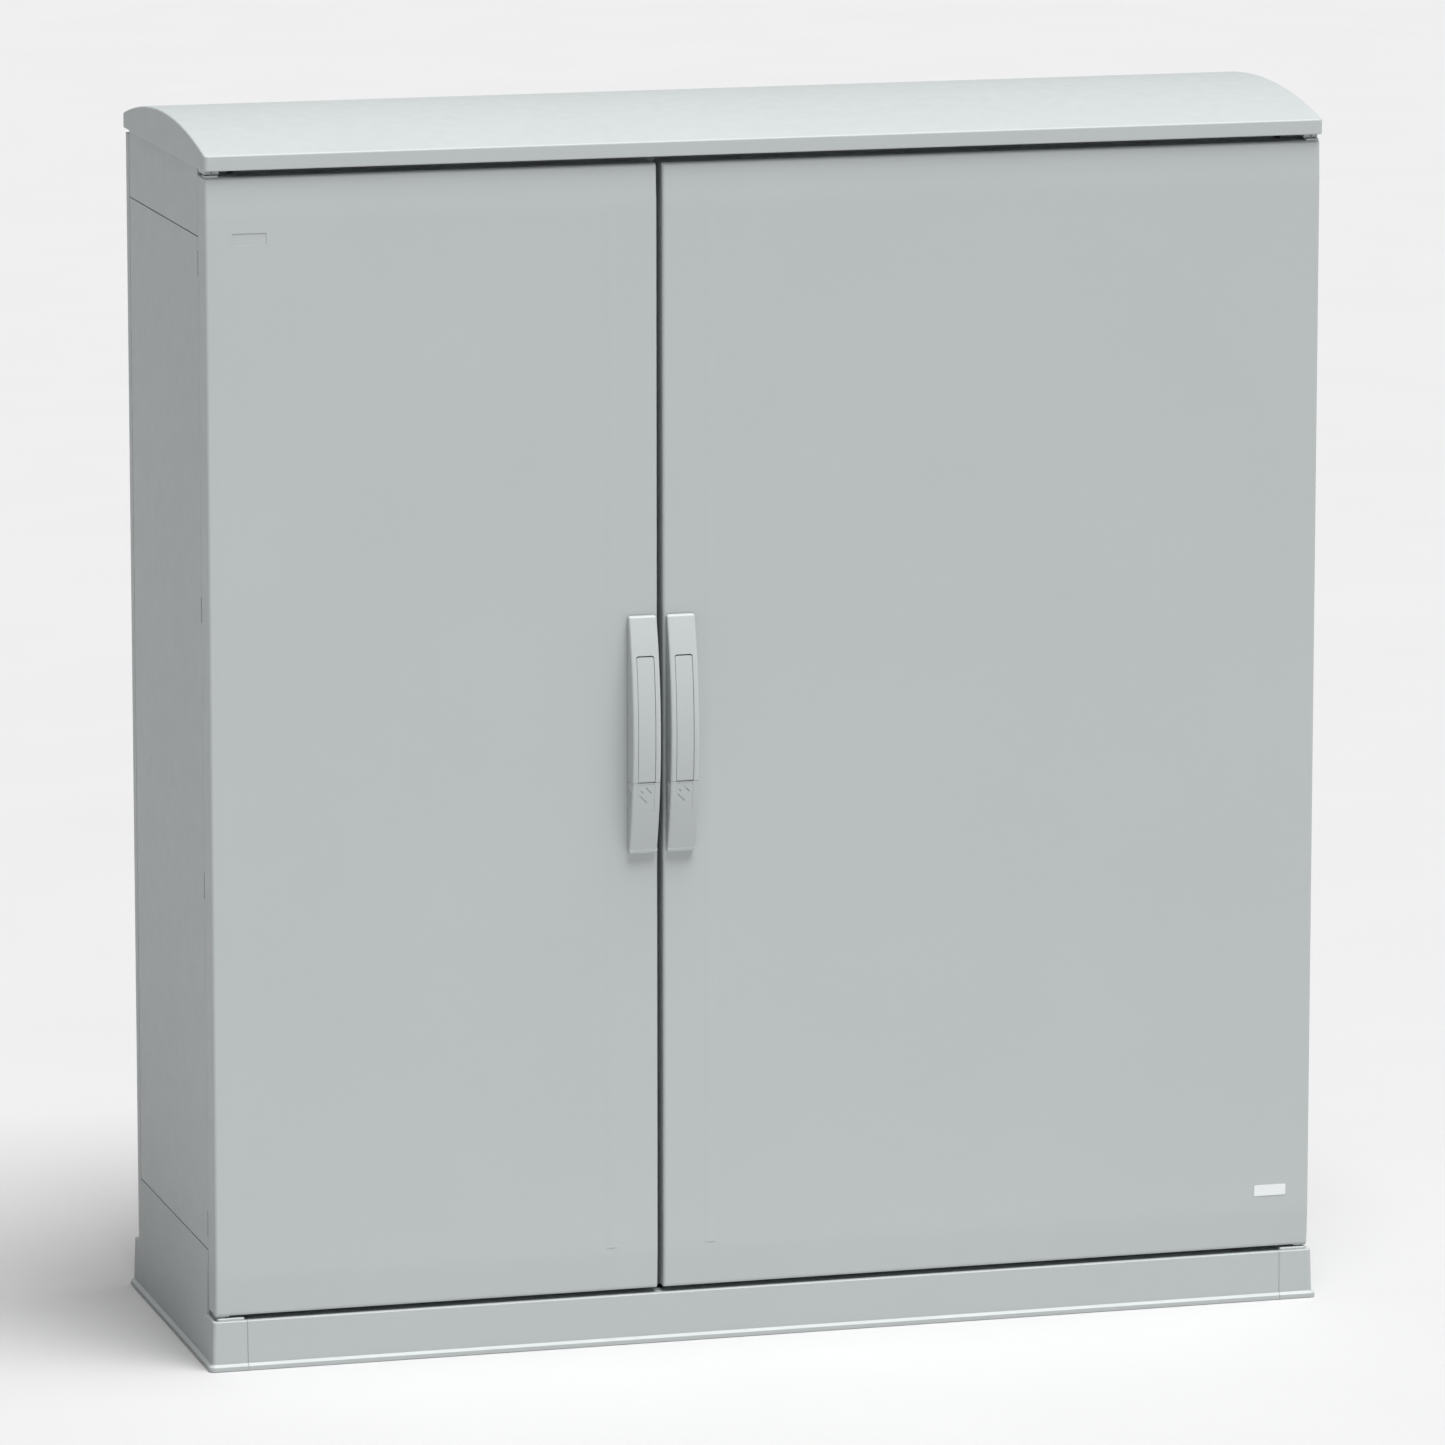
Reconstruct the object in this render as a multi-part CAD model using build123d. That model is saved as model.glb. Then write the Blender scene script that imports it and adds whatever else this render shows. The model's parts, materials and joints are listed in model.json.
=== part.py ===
"""Two-door floor-standing outdoor distribution cabinet in moulded glass-reinforced polyester.

Millimetres. X runs across the doors, Y from front to back, Z up from the floor.
The origin is on the floor under the middle of the foot, and the doors face -Y.
Each piece of the cabinet is its own solid, written as one STEP file per sub-part.
"""

import os
from math import atan, cos, pi, radians, sin, sqrt, tan

from build123d import *

# ---------------------------------------------------------------- overall size
FOOT_WIDTH = 1267.0
FOOT_DEPTH = 420.0
BODY_WIDTH = 1250.0
FRONT = -203.5  # front face of the closed doors
BACK = 205.5  # outer face of the rear panel
HALF = BODY_WIDTH / 2
WALL_X = HALF - 0.5  # outer face of the side walls
WALL = 5.0  # moulded wall thickness

# ---------------------------------------------------------------- plinth
PLINTH_TOP = 54.0
PAD_TOP = 57.2  # raised pad under each hinge corner
PLINTH_OUT_TOP = 3.2  # how far the sides stand out of the body at the top
PLINTH_OUT_LOW = 4.6  # and just above the foot lip
PLINTH_IN_TOP = 4.2  # how far the front and rear stand in from the foot lip at the top
PLINTH_IN_LOW = 3.0  # and just above the foot lip
PLINTH_CROWN = 0.5  # small chamfer along the top edge
PLINTH_CORNER_R = 4.0
LIP_CORNER_R = 7.0
LIP_HEIGHT = 4.6
LIP_SLOPE_TOP = 7.4
CORNER_X = 590.5  # joint between corner mouldings and straight panels
JOINT_GAP = 0.35
SHELF_DEPTH = 4.0
ANCHOR_X = 570.0
ANCHOR_Y = 150.0
ANCHOR_R = 7.0
FOOT_INNER_X = 545.0  # floor feet under the four corners
FOOT_Y = (118.0, 200.6)
FOOT_HEIGHT = 6.0
CORNER_PAD_X = 592.5  # inner end of the raised pad
PIN_SOCKET_R = 8.0
PIN_SOCKET_DEPTH = 12.0

# ---------------------------------------------------------------- side stack
SIDE_FRONT = FRONT + 37.5
SIDE_BACK = 183.0
LOWER_JOINT = 126.0
UPPER_JOINT = 1235.0
SIDE_GAP = 0.7
SIDE_EDGE = 0.5  # chamfer around each side moulding
NOTCH_HEIGHT = 28.0
NOTCH_DEPTH = 3.0
NOTCH_OFFSETS = (-525.5, -151.0, 151.0, 525.5)  # from the middle of the side panel
JOINT_LIP = 3.0  # thickness of the lip that bridges each joint from inside
JOINT_LIP_HEIGHT = 16.0
REAR_BOTTOM = 62.5
REAR_TOP = 1304.5
REAR_EDGE_R = 6.0

# ---------------------------------------------------------------- roof
CANOPY_BOTTOM = 1309.2
CANOPY_BAND = 16.4
CANOPY_RISE = 24.6
CANOPY_FRONT = FRONT - 4.3
CANOPY_BACK = BACK + 3.0
CANOPY_HALF = HALF + 1.2
CANOPY_WALL = 4.0
CANOPY_CORNER_R = 5.0
CANOPY_EDGE_R = 2.2
CANOPY_RIM_R = 1.2
CANOPY_BAYS = 4
CANOPY_RIB = 3.0
CANOPY_BOSS_R = 7.0
CANOPY_BOSS_HEIGHT = 30.0
ROOF_PANEL = 4.0
LEDGE = 4.0
LEDGE_INNER_X = 592.0
ROOF_TOP = CANOPY_BOTTOM
LEDGE_TOP = ROOF_TOP - ROOF_PANEL
LEDGE_BOTTOM = LEDGE_TOP - LEDGE
ROOF_SCREW_X = 607.0
ROOF_SCREW_Y = 120.0
BRACKET_SCREW_Y = -150.0
SCREW_R = 2.5
SCREW_HOLE_R = 2.8
SCREW_HEAD_R = 5.0
BRACKET_THICKNESS = 4.0

# ---------------------------------------------------------------- front frame
FRAME_FRONT = FRONT + 40.0
FRAME_DEPTH = 25.0
POST_OUT = WALL_X - WALL
POST_IN = 585.0
FRAME_WALL = 3.0
TOP_RAIL_BOTTOM = 1258.0
BOTTOM_RAIL_TOP = 104.0
MULLION_X = -125.0
MULLION_WIDTH = 130.0

# ---------------------------------------------------------------- doors
DOOR_GAP = 6.2
LEFT_DOOR_WIDTH = 496.9
RIGHT_DOOR_WIDTH = BODY_WIDTH - LEFT_DOOR_WIDTH - DOOR_GAP
DOOR_BOTTOM = 59.6
DOOR_TOP = 1302.0
DOOR_DEPTH = 34.5
DOOR_SKIN = 5.0
DOOR_FLANGE = 4.0
DOOR_EDGE_R = 3.5
BAND_HEIGHT = 42.5  # sloping bands along the top and bottom of each door
BAND_SETBACK = 1.8
BAND_BLEND_R = 200.0
BEAD_FROM_EDGE = 52.8  # shallow vertical bead beside each handle
BEAD_WIDTH = 14.0
BEAD_RISE = 0.4
TAB_WIDTH = 15.8  # low pad on the door's end around each hinge bush
TAB_UP = 1.8
TAB_DOWN = 1.0
STIFFENER_HINGE_IN = 24.0  # hat section in from the hinge edge
STIFFENER_LOCK_IN = 46.0  # and from the free edge
STIFFENER_END_IN = 26.0
STIFFENER_BREADTH = 18.0
STIFFENER_BACK = 29.0  # behind the door face
SEAL_SLOT_FLOOR = 27.5
LABEL_RECESS_X = (-595.4, -558.2)  # shallow blank recess high on the left door
LABEL_RECESS_Z = (1228.7, 1241.4)
LABEL_RECESS_DEPTH = 0.5
RATING_PLATE_X = (561.0, 597.8)  # small blank plate low on the right door
RATING_PLATE_Z = (118.8, 131.0)
RATING_PLATE_THICKNESS = 0.4

# ---------------------------------------------------------------- inside the cabinet
FLOOR_OPENINGS = ((-480, -220), (60, 420))  # x limits of the two cable entries
FLOOR_OPENING_Y = 60.0
MOUNT_PLATE_Y = 148.0
LEFT_PLATE = (-570.0, -165.0)
RIGHT_PLATE = (-85.0, 570.0)
PLATE_Z = (165.0, 1215.0)
SPACER_IN = 25.0
SHEET = 3.0  # mounting plate thickness
FLOOR_THICKNESS = 4.0
MEMBRANE = 4.0
MEMBRANE_OVERLAP = 12.0
GROMMET_HEIGHT = 14.0
SPACER_R = 9.0
PLATE_SCREW_R = 3.0
PLATE_SCREW_GRIP = 20.0

# ---------------------------------------------------------------- door hinges
PIN_IN = 9.0  # pin axis in from the door's outer edge
PIN_BACK = 10.5  # pin axis behind the door face
PIN_R = 3.5
PIN_COLLAR_R = 5.2  # collar under the lower bush, clear of the bore in the door
PIN_COLLAR_GAP = 0.1  # below the bush
PIN_CLEARANCE = 0.06
BUSH_R = 5.6
BUSH_LENGTH = 20.0
BUSH_STAND_OUT = 0.8  # lower bush, below the door's bottom edge
BOSS_SIZE = 20.0

# ---------------------------------------------------------------- handle
HANDLE_FROM_EDGE = 18.4
HANDLE_Z = 679.0
HANDLE_LENGTH = 262.0
HANDLE_WIDTH = 31.5
HANDLE_RISE = 25.0
HANDLE_END_RISE = 6.5
HANDLE_WALL = 2.4
HANDLE_EDGE_R = 2.2  # along both sides of the bow
HANDLE_END_R = 3.4
HANDLE_CORNER_R = 3.0  # seen from the front
HANDLE_SCREWS = ((563.0, 3.5), (650.0, 9.0), (795.0, 8.0))  # height and reach into the housing
COVER_TOP = 628.6
HOUSING_BOTTOM = 629.0
LEVER_WIDTH = 18.8
LEVER_TOP = 766.4
LEVER_THICKNESS = 6.5
LEVER_INSET = 0.25  # grip surface below the bow
LEVER_KNUCKLE_R = 2.2
LEVER_PIN_R = 1.2
RECESS_TOP = 767.8
RECESS_WIDTH = 19.8
RECESS_DEPTH = 9.0
COVER_KNUCKLE_R = 3.8
COVER_PIVOT_RISE = 4.1
COVER_WALL = 2.0
COVER_LUG_X = 10.0
COVER_LUG_WIDTH = 3.6
COVER_SWING = 90
COVER_PIN_R = 1.0
COVER_BACK = 0.3  # cover's rim stands this far off the door
COVER_PANEL_HALF = 9.6  # shallow panel on the cover's face
COVER_PANEL_LOW = 597.0
COVER_PANEL_DEPTH = 0.35
GRIP_GROOVES = ((-3.5, 610.9, 11.0), (-5.2, 619.3, 3.4), (2.4, 620.5, 8.2))  # x, z, length
GROOVE_WIDTH = 1.2
GROOVE_DEPTH = 1.1  # from the bow's surface
GRIP_RIB_COUNT = 5  # sloping ribs on each side of the cover
GRIP_RIB_LOW = 597.0
GRIP_RIB_PITCH = 6.4
BASE_THICKNESS = 2.5
BASE_CLEAR = 6.0  # base plate stays this far above the cover pin
GASKET = 1.0

# ---------------------------------------------------------------- lock and rods
LOCK_Z = 608.0
INSERT_R = 9.0
INSERT_FACE = 12.5  # front of the insert, out from the door face
COLLAR_R = 11.5
GEAR_MODULE = 1.25
GEAR_TEETH = 12
PRESSURE_ANGLE = 25.0
BACKLASH = 0.16  # taken off the thickness of every tooth
PITCH_R = GEAR_MODULE * GEAR_TEETH / 2
GEAR_FRONT = FRONT + 13.0
GEAR_WIDTH = 8.0
ROD_THICKNESS = 3.0
ROD_ROOT = PITCH_R + 1.25 * GEAR_MODULE  # from the spindle axis to the rack's root
ROD_X = ROD_ROOT + ROD_THICKNESS / 2
UPPER_ROD_TIP = 1282.0
LOWER_ROD_TIP = 79.5
TONGUE_CLEAR = 2.5
TONGUE_HEIGHT = 11.5
SPINDLE_SQUARE = 7.0
KEEPER_FAR = 12.0  # hook arm from the rod's middle plane, far and near side
KEEPER_NEAR = 4.0
KEEPER_TONGUE = 3.0
GUIDE_HEIGHTS = ((760.0, 1180.0), (170.0, 470.0))  # upper rod, lower rod

HANDLE_BOTTOM = HANDLE_Z - HANDLE_LENGTH / 2
HANDLE_TOP = HANDLE_Z + HANDLE_LENGTH / 2
BOW_SAGITTA = HANDLE_RISE - HANDLE_END_RISE
BOW_R = ((HANDLE_LENGTH / 2) ** 2 + BOW_SAGITTA**2) / (2 * BOW_SAGITTA)
BOW_CENTRE_Y = FRONT - HANDLE_RISE + BOW_R
COVER_PIVOT_Z = HANDLE_BOTTOM + COVER_KNUCKLE_R + 0.1
LEVER_PIVOT_Z = HOUSING_BOTTOM + LEVER_KNUCKLE_R + 0.1


# ================================================================ small helpers
def block(x0, x1, y0, y1, z0, z1):
    """Box between two corners."""
    box = Box(x1 - x0, y1 - y0, z1 - z0)
    return Pos((x0 + x1) / 2, (y0 + y1) / 2, (z0 + z1) / 2) * box


def rod_z(x, y, z0, z1, radius):
    """Round bar standing along Z."""
    return Pos(x, y, (z0 + z1) / 2) * Cylinder(radius, z1 - z0)


def rod_y(x, z, y0, y1, radius):
    """Round bar lying along Y."""
    return Pos(x, (y0 + y1) / 2, z) * Rot(90, 0, 0) * Cylinder(radius, y1 - y0)


def rod_x(y, z, x0, x1, radius):
    """Round bar lying along X."""
    return Pos((x0 + x1) / 2, y, z) * Rot(0, 90, 0) * Cylinder(radius, x1 - x0)


def along_x(face, x0, x1):
    """Outline drawn in (y, z), carried along X."""
    return extrude(Plane.YZ.offset(x0) * face, amount=x1 - x0)


def along_y(face, y0, y1):
    """Outline drawn in (x, z), carried along Y."""
    return extrude(Plane.XZ.offset(-y0) * face, amount=-(y1 - y0))


def outline(*points):
    return make_face(Polyline(*points, close=True))


def mirrored(shape):
    """The same piece for the right-hand side."""
    return mirror(shape, about=Plane.YZ)


def together(shapes):
    """Separate solids kept as one group."""
    return Compound(children=list(shapes))


def write(name, shape):
    export_step(shape, os.path.join("parts", name + ".step"))


# ================================================================ plinth
def foot_section(out_x, out_y, corner_r, z):
    """Rounded rectangle around the body, standing out of it by the given amounts."""
    width = BODY_WIDTH + 2 * out_x
    return Pos(0, 0, z) * RectangleRounded(width, 2 * out_y, corner_r)


def plinth_ring():
    """The whole plinth wall, before it is cut into corner mouldings and straight panels."""
    lip_x = (FOOT_WIDTH - BODY_WIDTH) / 2
    lip_y = FOOT_DEPTH / 2
    low_y = lip_y - PLINTH_IN_LOW
    top_y = lip_y - PLINTH_IN_TOP
    crown_x, crown_y = PLINTH_OUT_TOP - PLINTH_CROWN, top_y - PLINTH_CROWN
    lip = extrude(foot_section(lip_x, lip_y, LIP_CORNER_R, 0), amount=LIP_HEIGHT)
    slope = loft([
        foot_section(lip_x, lip_y, LIP_CORNER_R, LIP_HEIGHT),
        foot_section(PLINTH_OUT_LOW, low_y, PLINTH_CORNER_R, LIP_SLOPE_TOP),
    ])
    wall = loft([
        foot_section(PLINTH_OUT_LOW, low_y, PLINTH_CORNER_R, LIP_SLOPE_TOP),
        foot_section(PLINTH_OUT_TOP, top_y, PLINTH_CORNER_R, PLINTH_TOP - PLINTH_CROWN),
    ])
    crown = loft([
        foot_section(PLINTH_OUT_TOP, top_y, PLINTH_CORNER_R, PLINTH_TOP - PLINTH_CROWN),
        foot_section(crown_x, crown_y, PLINTH_CORNER_R - PLINTH_CROWN, PLINTH_TOP),
    ])
    inner_x = HALF + PLINTH_OUT_TOP - WALL
    inner_y = top_y - WALL
    hollow = block(-inner_x, inner_x, -inner_y, inner_y, -1, PLINTH_TOP + 1)
    return lip + slope + wall + crown - hollow


def plinth_side(ring):
    """Left lower moulding: foot, both wrapped corners, and the low part of the side wall."""
    side = ring & block(-HALF - 20, -CORNER_X - JOINT_GAP / 2, -300, 300, -1, PLINTH_TOP + 1)
    wall_top = LOWER_JOINT - SIDE_GAP / 2
    flare_x = HALF + PLINTH_OUT_TOP
    skirt = outline(
        (-flare_x, PLINTH_TOP - PLINTH_CROWN),
        (-WALL_X, wall_top - SIDE_EDGE),
        (-WALL_X + SIDE_EDGE, wall_top),
        (-WALL_X + WALL, wall_top),
        (-WALL_X + WALL, PLINTH_TOP - SHELF_DEPTH),
        (-flare_x, PLINTH_TOP - SHELF_DEPTH),
    )
    side += along_y(skirt, SIDE_FRONT, SIDE_BACK)
    shelf_end = FOOT_DEPTH / 2 - 8
    shelf_z = (PLINTH_TOP - SHELF_DEPTH, PLINTH_TOP)
    side += block(-HALF, -CORNER_X - JOINT_GAP / 2, -shelf_end, shelf_end, *shelf_z)
    side += block(-HALF, -POST_IN, SIDE_FRONT - 13, SIDE_BACK + 4, *shelf_z)
    for y in (-1, 1):
        near, far = sorted((y * FOOT_Y[0], y * FOOT_Y[1]))
        side += block(-HALF - 1, -FOOT_INNER_X, near, far, 0, FOOT_HEIGHT)
        side -= rod_z(-ANCHOR_X, y * ANCHOR_Y, -1, FOOT_HEIGHT + 1, ANCHOR_R)
    pad = block(-HALF + 2, -CORNER_PAD_X, FRONT + 1.5, SIDE_FRONT - 2, PLINTH_TOP - 1, PAD_TOP)
    pad = fillet(pad.edges().filter_by(Axis.Z), 3)
    pad = chamfer(pad.faces().sort_by(Axis.Z)[-1].edges(), 1.0)
    side += pad
    pin_x = -HALF + PIN_IN
    pin_y = FRONT + PIN_BACK
    side += rod_z(pin_x, pin_y, PLINTH_TOP - PIN_SOCKET_DEPTH - 4, PLINTH_TOP, PIN_SOCKET_R)
    side -= rod_z(pin_x, pin_y, PLINTH_TOP - PIN_SOCKET_DEPTH, PAD_TOP + 1, PIN_R)
    return side


def plinth_front(ring):
    span = CORNER_X - JOINT_GAP / 2
    panel = ring & block(-span, span, -300, 0, -1, PLINTH_TOP + 1)
    return panel + block(-span, span, -203, -180, PLINTH_TOP - SHELF_DEPTH, PLINTH_TOP)


def plinth_rear(ring):
    span = CORNER_X - JOINT_GAP / 2
    panel = ring & block(-span, span, 0, 300, -1, PLINTH_TOP + 1)
    return panel + block(-span, span, 190, 203, PLINTH_TOP - SHELF_DEPTH, PLINTH_TOP)


# ================================================================ side walls
def side_panel():
    """Left side panel with fastening notches in its front edge and a lip behind each joint."""
    low = LOWER_JOINT + SIDE_GAP / 2
    high = UPPER_JOINT - SIDE_GAP / 2
    panel = block(-WALL_X, -WALL_X + WALL, SIDE_FRONT, SIDE_BACK, low, high)
    panel = chamfer(panel.faces().sort_by(Axis.X)[0].edges(), SIDE_EDGE)
    middle = (low + high) / 2
    for offset in NOTCH_OFFSETS:
        z0 = middle + offset - NOTCH_HEIGHT / 2
        panel -= block(-WALL_X - 1, -WALL_X + WALL + 1, SIDE_FRONT - 1, SIDE_FRONT + NOTCH_DEPTH,
                       z0, z0 + NOTCH_HEIGHT)
    lip_front = FRAME_FRONT + FRAME_DEPTH + JOINT_LIP
    lip_back = SIDE_BACK - FRAME_DEPTH - JOINT_LIP
    for z in (low, high):
        panel += block(-WALL_X + WALL, -WALL_X + WALL + JOINT_LIP, lip_front, lip_back,
                       z - JOINT_LIP_HEIGHT / 2, z + JOINT_LIP_HEIGHT / 2)
    return panel


def upper_side_frame():
    """Left top moulding of the side wall, with the ledge that carries the roof panel."""
    low = UPPER_JOINT + SIDE_GAP / 2
    wall = block(-WALL_X, -WALL_X + WALL, SIDE_FRONT, SIDE_BACK, low, CANOPY_BOTTOM)
    wall = chamfer(wall.faces().sort_by(Axis.X)[0].edges(), SIDE_EDGE)
    wall += block(-WALL_X + WALL - 1, -LEDGE_INNER_X, FRAME_FRONT, SIDE_BACK, LEDGE_BOTTOM, LEDGE_TOP)
    for y in (-ROOF_SCREW_Y, ROOF_SCREW_Y, BRACKET_SCREW_Y):
        wall -= rod_z(-ROOF_SCREW_X, y, LEDGE_BOTTOM - 1, LEDGE_TOP + 1, SCREW_HOLE_R)
    return wall


def rear_panel():
    """Shallow tray that closes the back."""
    tray = block(-WALL_X, WALL_X, SIDE_BACK + 2, BACK, REAR_BOTTOM, REAR_TOP)
    tray = fillet(tray.faces().sort_by(Axis.Y)[-1].edges(), REAR_EDGE_R)
    tray -= block(-WALL_X + WALL, WALL_X - WALL, SIDE_BACK, BACK - WALL, REAR_BOTTOM + WALL, REAR_TOP - WALL)
    return tray


# ================================================================ frame
def hollow_box(x0, x1, y0, y1, z0, z1, axis):
    """Rectangular tube, open at both ends along the named axis."""
    grow = {"X": (-1, FRAME_WALL, FRAME_WALL), "Z": (FRAME_WALL, FRAME_WALL, -1)}[axis]
    outer = block(x0, x1, y0, y1, z0, z1)
    inner = block(x0 + grow[0], x1 - grow[0], y0 + grow[1], y1 - grow[1], z0 + grow[2], z1 - grow[2])
    return outer - inner


def corner_posts():
    posts = []
    for y0 in (FRAME_FRONT, SIDE_BACK - FRAME_DEPTH - 0.2):
        for x0 in (-POST_OUT, POST_IN):
            x1 = x0 + POST_OUT - POST_IN
            posts.append(hollow_box(x0, x1, y0, y0 + FRAME_DEPTH, PLINTH_TOP, LEDGE_BOTTOM, "Z"))
    return together(posts)


def front_rail(z0, z1):
    return hollow_box(-POST_IN, POST_IN, FRAME_FRONT, FRAME_FRONT + FRAME_DEPTH, z0, z1, "X")


def centre_mullion():
    half = MULLION_WIDTH / 2
    return hollow_box(MULLION_X - half, MULLION_X + half, FRAME_FRONT, FRAME_FRONT + FRAME_DEPTH,
                      BOTTOM_RAIL_TOP, TOP_RAIL_BOTTOM, "Z")


# ================================================================ roof
def canopy_section(inset, z_bottom):
    """Arched outline in (y, z), drawn inset from the outer skin."""
    half_span = (CANOPY_BACK - CANOPY_FRONT) / 2
    middle = (CANOPY_BACK + CANOPY_FRONT) / 2
    shoulder = CANOPY_BOTTOM + CANOPY_BAND
    arch_r = (half_span**2 + CANOPY_RISE**2) / (2 * CANOPY_RISE)
    centre = shoulder + CANOPY_RISE - arch_r
    reach = half_span - inset
    spring = centre + sqrt((arch_r - inset) ** 2 - reach**2)
    crest = shoulder + CANOPY_RISE - inset
    edges = [
        Line((middle - reach, z_bottom), (middle - reach, spring)),
        ThreePointArc((middle - reach, spring), (middle, crest), (middle + reach, spring)),
        Line((middle + reach, spring), (middle + reach, z_bottom)),
        Line((middle + reach, z_bottom), (middle - reach, z_bottom)),
    ]
    return make_face(edges)


def canopy():
    """Arched rain cover: skin, three stiffening ribs across and a screw boss over each corner."""
    shell = along_x(canopy_section(0, CANOPY_BOTTOM), -CANOPY_HALF, CANOPY_HALF)
    shell = fillet(shell.edges().filter_by(Axis.Z), CANOPY_CORNER_R)
    upper = shell.edges().filter_by(lambda e: e.bounding_box().min.Z > CANOPY_BOTTOM + CANOPY_BAND / 2)
    shell = fillet(upper, CANOPY_EDGE_R)
    shell = fillet(shell.faces().sort_by(Axis.Z)[0].edges(), CANOPY_RIM_R)
    inner_half = CANOPY_HALF - CANOPY_WALL
    pitch = 2 * inner_half / CANOPY_BAYS
    for i in range(CANOPY_BAYS):
        x0 = -inner_half + i * pitch + (CANOPY_RIB / 2 if i else 0)
        x1 = -inner_half + (i + 1) * pitch - (CANOPY_RIB / 2 if i < CANOPY_BAYS - 1 else 0)
        shell -= along_x(canopy_section(CANOPY_WALL, CANOPY_BOTTOM - 2), x0, x1)
    shell -= block(-inner_half, inner_half, CANOPY_FRONT + CANOPY_WALL, CANOPY_BACK - CANOPY_WALL,
                   CANOPY_BOTTOM - 2, CANOPY_BOTTOM + BRACKET_THICKNESS + 1)
    for x in (-ROOF_SCREW_X, ROOF_SCREW_X):
        for y in (-ROOF_SCREW_Y, ROOF_SCREW_Y):
            shell += rod_z(x, y, ROOF_TOP, ROOF_TOP + CANOPY_BOSS_HEIGHT, CANOPY_BOSS_R)
            shell -= rod_z(x, y, ROOF_TOP - 1, ROOF_TOP + 18, SCREW_R + 0.05)
    return shell


def roof_panel():
    panel = block(-POST_OUT, POST_OUT, FRAME_FRONT, SIDE_BACK - 1, LEDGE_TOP, ROOF_TOP)
    for x in (-ROOF_SCREW_X, ROOF_SCREW_X):
        for y in (-ROOF_SCREW_Y, ROOF_SCREW_Y, BRACKET_SCREW_Y):
            panel -= rod_z(x, y, LEDGE_TOP - 1, ROOF_TOP + 1, SCREW_HOLE_R)
    return panel


def roof_screws():
    """Screws up into the canopy bosses, and one down through each hinge bracket."""
    screws = []
    for x in (-ROOF_SCREW_X, ROOF_SCREW_X):
        for y in (-ROOF_SCREW_Y, ROOF_SCREW_Y):
            shank = rod_z(x, y, LEDGE_BOTTOM - 1, ROOF_TOP + 16, SCREW_R)
            screws.append(shank + rod_z(x, y, LEDGE_BOTTOM - 4, LEDGE_BOTTOM, SCREW_HEAD_R))
        head_z = ROOF_TOP + BRACKET_THICKNESS
        shank = rod_z(x, BRACKET_SCREW_Y, LEDGE_BOTTOM - 3, head_z + 1, SCREW_R)
        screws.append(shank + rod_z(x, BRACKET_SCREW_Y, head_z, head_z + 4, SCREW_HEAD_R))
    return together(screws)


def hinge_brackets():
    """Plate and pad over each door's outer top corner that carry the upper hinge pin."""
    top = ROOF_TOP + BRACKET_THICKNESS
    plate = block(-HALF + 3.5, -HALF + 32, FRONT + 2, BRACKET_SCREW_Y + 10, ROOF_TOP, top)
    plate = fillet(plate.edges().filter_by(Axis.Z), 2)
    plate += block(-HALF + 1.5, -HALF + 17, FRONT + 7, SIDE_FRONT - 1, DOOR_TOP + TAB_UP + 0.8, ROOF_TOP)
    plate -= rod_z(-HALF + PIN_IN, FRONT + PIN_BACK, DOOR_TOP, top + 1, PIN_R)
    plate -= rod_z(-ROOF_SCREW_X, BRACKET_SCREW_Y, ROOF_TOP - 1, top + 1, SCREW_HOLE_R)
    return together([plate, mirrored(plate)])


def hinge_pins():
    """Two pins to each door; the lower ones carry the door's weight on a collar."""
    pins = []
    y = FRONT + PIN_BACK
    for x in (-HALF + PIN_IN, HALF - PIN_IN):
        lower = rod_z(x, y, PLINTH_TOP - PIN_SOCKET_DEPTH, DOOR_BOTTOM + BUSH_LENGTH - 2, PIN_R)
        collar_top = DOOR_BOTTOM - BUSH_STAND_OUT - PIN_COLLAR_GAP
        pins.append(lower + rod_z(x, y, PAD_TOP, collar_top, PIN_COLLAR_R))
        pins.append(rod_z(x, y, DOOR_TOP - BUSH_LENGTH + 2, ROOF_TOP + BRACKET_THICKNESS + 2, PIN_R))
    return together(pins)


# ================================================================ inside the cabinet
def floor_plate():
    top = PLINTH_TOP + FLOOR_THICKNESS
    plate = block(-POST_OUT + 1, POST_OUT - 1, -137, 156, PLINTH_TOP, top)
    for x0, x1 in FLOOR_OPENINGS:
        plate -= block(x0, x1, -FLOOR_OPENING_Y, FLOOR_OPENING_Y, PLINTH_TOP - 1, top + 1)
    return plate


def cable_entry_membranes():
    """Rubber sheet over each cable entry, with a row of raised, uncut grommets."""
    sheets = []
    low = PLINTH_TOP + FLOOR_THICKNESS
    reach = FLOOR_OPENING_Y + MEMBRANE_OVERLAP
    for x0, x1 in FLOOR_OPENINGS:
        sheet = block(x0 - MEMBRANE_OVERLAP, x1 + MEMBRANE_OVERLAP, -reach, reach, low, low + MEMBRANE)
        count = 4 if x1 - x0 < 300 else 5
        step = (x1 - x0) / count
        for i in range(count):
            x = x0 + (i + 0.5) * step
            sheet += Pos(x, 0, low + MEMBRANE - 1 + GROMMET_HEIGHT / 2) * Cone(24, 12, GROMMET_HEIGHT)
        sheets.append(sheet)
    return together(sheets)


def mounting_plate(limits):
    plate = block(limits[0], limits[1], MOUNT_PLATE_Y, MOUNT_PLATE_Y + SHEET, *PLATE_Z)
    plate = fillet(plate.edges().filter_by(Axis.Y), 8)
    for x, z in plate_corners(limits):
        plate -= rod_y(x, z, MOUNT_PLATE_Y - 1, MOUNT_PLATE_Y + SHEET + 1, PLATE_SCREW_R + 0.2)
    return plate


def plate_corners(limits):
    xs = (limits[0] + SPACER_IN, limits[1] - SPACER_IN)
    zs = (PLATE_Z[0] + SPACER_IN, PLATE_Z[1] - SPACER_IN)
    return [(x, z) for x in xs for z in zs]


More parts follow.
